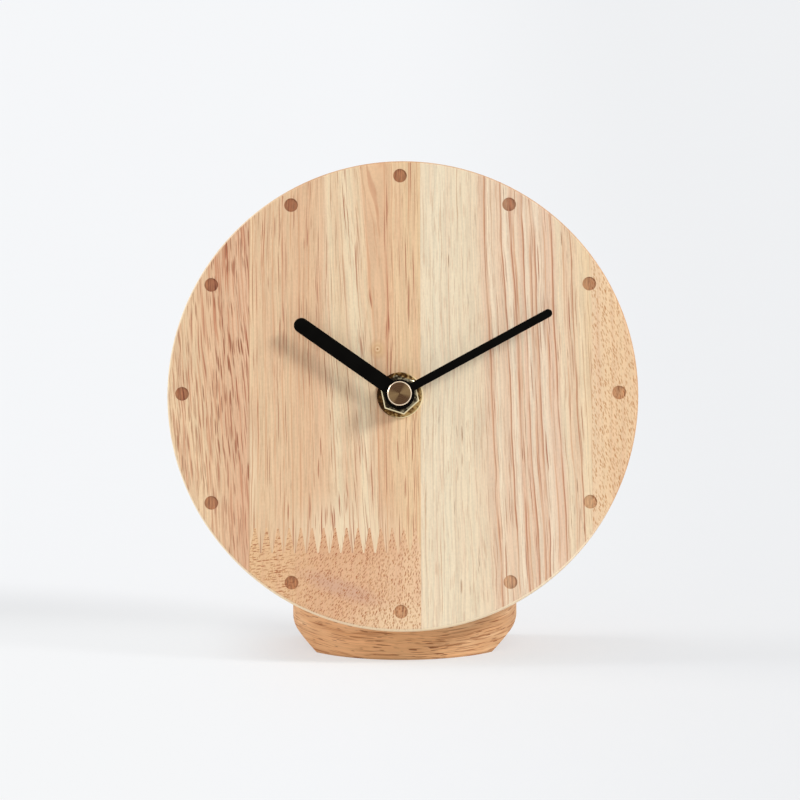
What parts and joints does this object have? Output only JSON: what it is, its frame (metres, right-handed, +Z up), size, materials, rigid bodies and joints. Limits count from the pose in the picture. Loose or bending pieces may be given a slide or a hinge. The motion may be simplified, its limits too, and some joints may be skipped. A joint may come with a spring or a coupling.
{
  "type": "desk clock",
  "caption": "Round wooden desk clock: a leaning dial board of glued staves with burnt hour dots on a round-nosed wooden foot, with black hands and a quartz movement behind.",
  "frame": {"origin": "on the foot's underside, at the centre of the circle that the foot's round front follows", "axes": "+Z up, -Y towards the front of the clock, +X to the viewer's right"},
  "size_m": [0.15, 0.0562, 0.158],
  "materials": {
    "stave_wood_streaked": "pale rubberwood with reddish-brown streaks, sanded and thinly oiled",
    "stave_wood_fine": "pale rubberwood with fine straight grain, sanded and thinly oiled",
    "stave_wood_flecked": "pinkish rubberwood with short dark flecks, sanded and thinly oiled",
    "stave_wood_pale": "cream rubberwood with faint grain, sanded and thinly oiled",
    "stave_wood_yellow": "yellowish rubberwood with brown flecks, sanded and thinly oiled",
    "beech": "steamed beech with short dark flecks, sanded and oiled",
    "dowel_wood": "plain beech dowel",
    "black_plastic": "black moulded plastic, fine texture",
    "knob_plastic": "black moulded plastic, slightly shiny",
    "white_plastic": "white acetal",
    "bobbin_plastic": "blue moulded nylon",
    "brass": "dark aged brass with bright edges",
    "brass_turned": "aged brass, turned face",
    "hand_black": "matt black lacquer on sheet aluminium",
    "steel": "drawn steel",
    "stator_steel": "stamped soft-iron sheet",
    "contact_steel": "nickel-plated spring strip",
    "magnet": "sintered magnet",
    "copper_wire": "lacquered copper wire",
    "board_laminate": "brown laminate with copper tracks",
    "epoxy": "black epoxy drop",
    "battery_sleeve": "plain dark sleeve with a copper-coloured band",
    "rubber": "black rubber ring"
  },
  "bodies": {
    "clock_body": {"dial_stave_left": "stave_wood_streaked", "dial_stave_middle_upper": "stave_wood_fine", "dial_stave_middle_lower": "stave_wood_flecked", "dial_stave_center_right": "stave_wood_pale", "dial_stave_right": "stave_wood_yellow", "foot": "beech", "foot_dowels": "dowel_wood", "movement_case": "black_plastic", "movement_cover": "black_plastic", "dial_gasket": "rubber", "threaded_bush": "brass", "bush_washer": "brass", "hex_nut": "brass", "stator": "stator_steel", "coil_core": "stator_steel", "coil_bobbin": "bobbin_plastic", "coil_winding": "copper_wire", "circuit_board": "board_laminate", "quartz_crystal": "steel", "control_chip": "epoxy", "contact_positive": "contact_steel", "contact_negative": "contact_steel"},
    "minute_group": {"minute_hand": "hand_black", "minute_pipe": "brass", "cap_nut": "brass_turned"},
    "hour_group": {"hour_hand": "hand_black", "hour_wheel": "white_plastic"},
    "motion_group": {"motion_wheel": "white_plastic"},
    "knob_group": {"setting_knob": "knob_plastic"},
    "seconds_group": {"seconds_wheel": "white_plastic", "seconds_arbor": "steel"},
    "third_group": {"third_wheel": "white_plastic"},
    "centre_group": {"centre_wheel": "white_plastic"},
    "fast_group": {"fast_wheel": "white_plastic"},
    "rotor_group": {"rotor_pinion": "white_plastic", "rotor_magnet": "magnet"},
    "battery_group": {"battery": "battery_sleeve"}
  },
  "joints": [
    {"name": "minute_spin", "type": "hinge", "parent": "clock_body", "child": "minute_group", "pos_m": [-0.0009, -0.03208, 0.08492], "axis": [0, 0.9763, -0.2164], "continuous": true},
    {"name": "hour_spin", "type": "hinge", "parent": "clock_body", "child": "hour_group", "pos_m": [-0.0009, -0.03208, 0.08492], "axis": [0, 0.9763, -0.2164], "continuous": true},
    {"name": "motion_wheel_spin", "type": "hinge", "parent": "clock_body", "child": "motion_group", "pos_m": [0.0027, -0.03073, 0.09101], "axis": [0, 0.9763, -0.2164], "continuous": true},
    {"name": "setting_knob_spin", "type": "hinge", "parent": "clock_body", "child": "knob_group", "pos_m": [0.00675, -0.02921, 0.09786], "axis": [0, 0.9763, -0.2164], "continuous": true},
    {"name": "seconds_spin", "type": "hinge", "parent": "clock_body", "child": "seconds_group", "pos_m": [-0.0009, -0.03208, 0.08492], "axis": [0, 0.9763, -0.2164], "continuous": true},
    {"name": "third_wheel_spin", "type": "hinge", "parent": "clock_body", "child": "third_group", "pos_m": [-0.0099, -0.03208, 0.08492], "axis": [0, 0.9763, -0.2164], "continuous": true},
    {"name": "centre_wheel_spin", "type": "hinge", "parent": "clock_body", "child": "centre_group", "pos_m": [-0.0009, -0.03208, 0.08492], "axis": [0, 0.9763, -0.2164], "continuous": true},
    {"name": "fast_wheel_spin", "type": "hinge", "parent": "clock_body", "child": "fast_group", "pos_m": [-0.0054, -0.0304, 0.09253], "axis": [0, 0.9763, -0.2164], "continuous": true},
    {"name": "rotor_spin", "type": "hinge", "parent": "clock_body", "child": "rotor_group", "pos_m": [-0.01146, -0.02964, 0.09595], "axis": [0, 0.9763, -0.2164], "continuous": true},
    {"name": "battery_slide", "type": "slide", "parent": "clock_body", "child": "battery_group", "axis": [0, 0.9763, -0.2164], "range_m": [0, 0.018]}
  ],
  "couplings": [
    {"joint": "motion_wheel_spin", "follows": "minute_spin", "ratio": -0.33333},
    {"joint": "hour_spin", "follows": "minute_spin", "ratio": 0.083333},
    {"joint": "setting_knob_spin", "follows": "minute_spin", "ratio": 0.66667},
    {"joint": "third_wheel_spin", "follows": "seconds_spin", "ratio": -0.13333},
    {"joint": "centre_wheel_spin", "follows": "seconds_spin", "ratio": 0.016667},
    {"joint": "fast_wheel_spin", "follows": "seconds_spin", "ratio": -5},
    {"joint": "rotor_spin", "follows": "seconds_spin", "ratio": 30}
  ]
}
